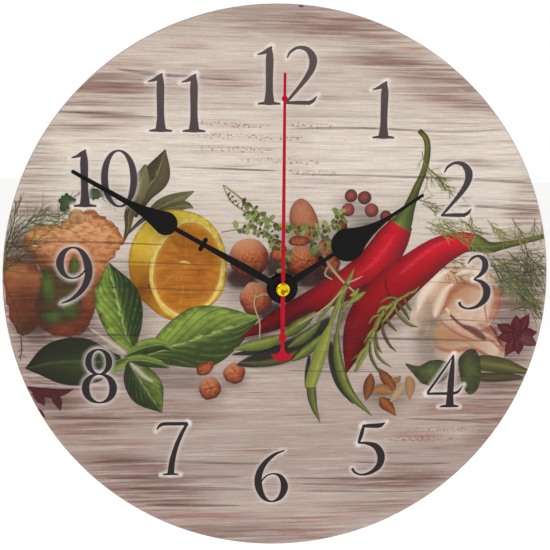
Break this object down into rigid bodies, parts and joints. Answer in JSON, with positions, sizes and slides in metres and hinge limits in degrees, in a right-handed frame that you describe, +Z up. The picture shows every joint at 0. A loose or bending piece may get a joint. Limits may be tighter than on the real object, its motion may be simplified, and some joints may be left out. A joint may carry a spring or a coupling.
{
  "type": "wall clock",
  "caption": "Round printed wall clock with spade hands, driven by a square battery quartz movement with a full gear train behind the dial.",
  "frame": {"origin": "on the hands' axis, in the wall plane that the back of the movement rests on", "axes": "+Z up through 12 o'clock, +X towards 3 o'clock, the dial faces -Y and +Y points into the wall"},
  "size_m": [0.3, 0.0315, 0.3],
  "materials": {
    "board_fibre": "pressed fibreboard, laser-cut edge",
    "printed_film": "matt printed film",
    "gasket_rubber": "matt",
    "brass_bright": "stamped, bright",
    "case_black": "moulded, fine texture",
    "cover_black": "moulded, fine texture",
    "plate_white": "moulded, plain",
    "circuit_laminate": "green laminate",
    "blob_epoxy": "glossy epoxy",
    "crystal_can": "bright can",
    "contact_steel": "nickel plated strip",
    "stator_iron": "annealed soft iron",
    "bobbin_white": "moulded",
    "winding_copper": "enamelled copper wire",
    "gear_white": "moulded acetal",
    "magnet_dark": "sintered magnet",
    "arbor_steel": "polished steel",
    "knob_black": "moulded, ridged",
    "battery_steel": "nickel plated steel",
    "battery_wrap": "shrink film, two tones",
    "hand_black": "satin black paint",
    "hand_red": "satin red paint",
    "cap_brass": "polished"
  },
  "bodies": {
    "movement": {"front_case": "case_black", "rear_cover": "cover_black", "middle_plate": "plate_white", "centre_bush": "brass_bright", "hex_nut": "brass_bright", "brass_washer": "brass_bright", "rubber_gasket": "gasket_rubber", "dial_board": "board_fibre", "dial_print": "printed_film", "circuit_board": "circuit_laminate", "chip_blob": "blob_epoxy", "quartz_crystal": "crystal_can", "positive_contact": "contact_steel", "negative_contact": "contact_steel", "stator": "stator_iron", "coil_core": "stator_iron", "coil_bobbin": "bobbin_white", "coil_winding": "winding_copper"},
    "seconds_train": {"seconds_wheel": "gear_white", "seconds_arbor": "arbor_steel", "second_hand": "hand_red", "hand_cap": "cap_brass"},
    "rotor": {"rotor_magnet": "magnet_dark", "rotor_pinion": "gear_white"},
    "intermediate": {"intermediate_wheel": "gear_white"},
    "third": {"third_wheel": "gear_white"},
    "minutes": {"centre_wheel": "gear_white", "minute_arbor": "brass_bright", "minute_hand": "hand_black"},
    "motion": {"motion_wheel": "gear_white"},
    "hours": {"hour_wheel": "gear_white", "hour_hand": "hand_black"},
    "setting": {"setting_knob": "knob_black", "setting_arbor": "gear_white"},
    "battery": {"battery_can": "battery_steel", "battery_sleeve": "battery_wrap", "battery_seal": "battery_steel"}
  },
  "joints": [
    {"name": "second_hand_spin", "type": "hinge", "parent": "movement", "child": "seconds_train", "pos_m": [0, -0.008, 0], "axis": [0, 1, 0], "continuous": true},
    {"name": "minute_hand_spin", "type": "hinge", "parent": "movement", "child": "minutes", "pos_m": [0, -0.008, 0], "axis": [0, 1, 0], "continuous": true},
    {"name": "hour_hand_spin", "type": "hinge", "parent": "movement", "child": "hours", "pos_m": [0, -0.008, 0], "axis": [0, 1, 0], "continuous": true},
    {"name": "motion_wheel_spin", "type": "hinge", "parent": "movement", "child": "motion", "pos_m": [-0.00826, -0.008, 0.00146], "axis": [0, 1, 0], "continuous": true},
    {"name": "third_wheel_spin", "type": "hinge", "parent": "movement", "child": "third", "pos_m": [-0.00636, -0.008, 0.00636], "axis": [0, 1, 0], "continuous": true},
    {"name": "intermediate_wheel_spin", "type": "hinge", "parent": "movement", "child": "intermediate", "pos_m": [0.00841, -0.008, 0.00306], "axis": [0, 1, 0], "continuous": true},
    {"name": "rotor_spin", "type": "hinge", "parent": "movement", "child": "rotor", "pos_m": [0.01405, -0.008, 0.00511], "axis": [0, 1, 0], "continuous": true},
    {"name": "setting_knob_spin", "type": "hinge", "parent": "movement", "child": "setting", "pos_m": [-0.01652, -0.008, 0.00291], "axis": [0, 1, 0], "continuous": true},
    {"name": "battery_slide", "type": "slide", "parent": "movement", "child": "battery", "axis": [0, 1, 0], "range_m": [0, 0.02]}
  ],
  "couplings": [
    {"joint": "minute_hand_spin", "follows": "second_hand_spin", "ratio": 0.016667},
    {"joint": "hour_hand_spin", "follows": "second_hand_spin", "ratio": 0.0013889},
    {"joint": "motion_wheel_spin", "follows": "second_hand_spin", "ratio": -0.0055556},
    {"joint": "third_wheel_spin", "follows": "second_hand_spin", "ratio": -0.125},
    {"joint": "intermediate_wheel_spin", "follows": "second_hand_spin", "ratio": -6},
    {"joint": "rotor_spin", "follows": "second_hand_spin", "ratio": 30},
    {"joint": "setting_knob_spin", "follows": "second_hand_spin", "ratio": 0.016667}
  ]
}
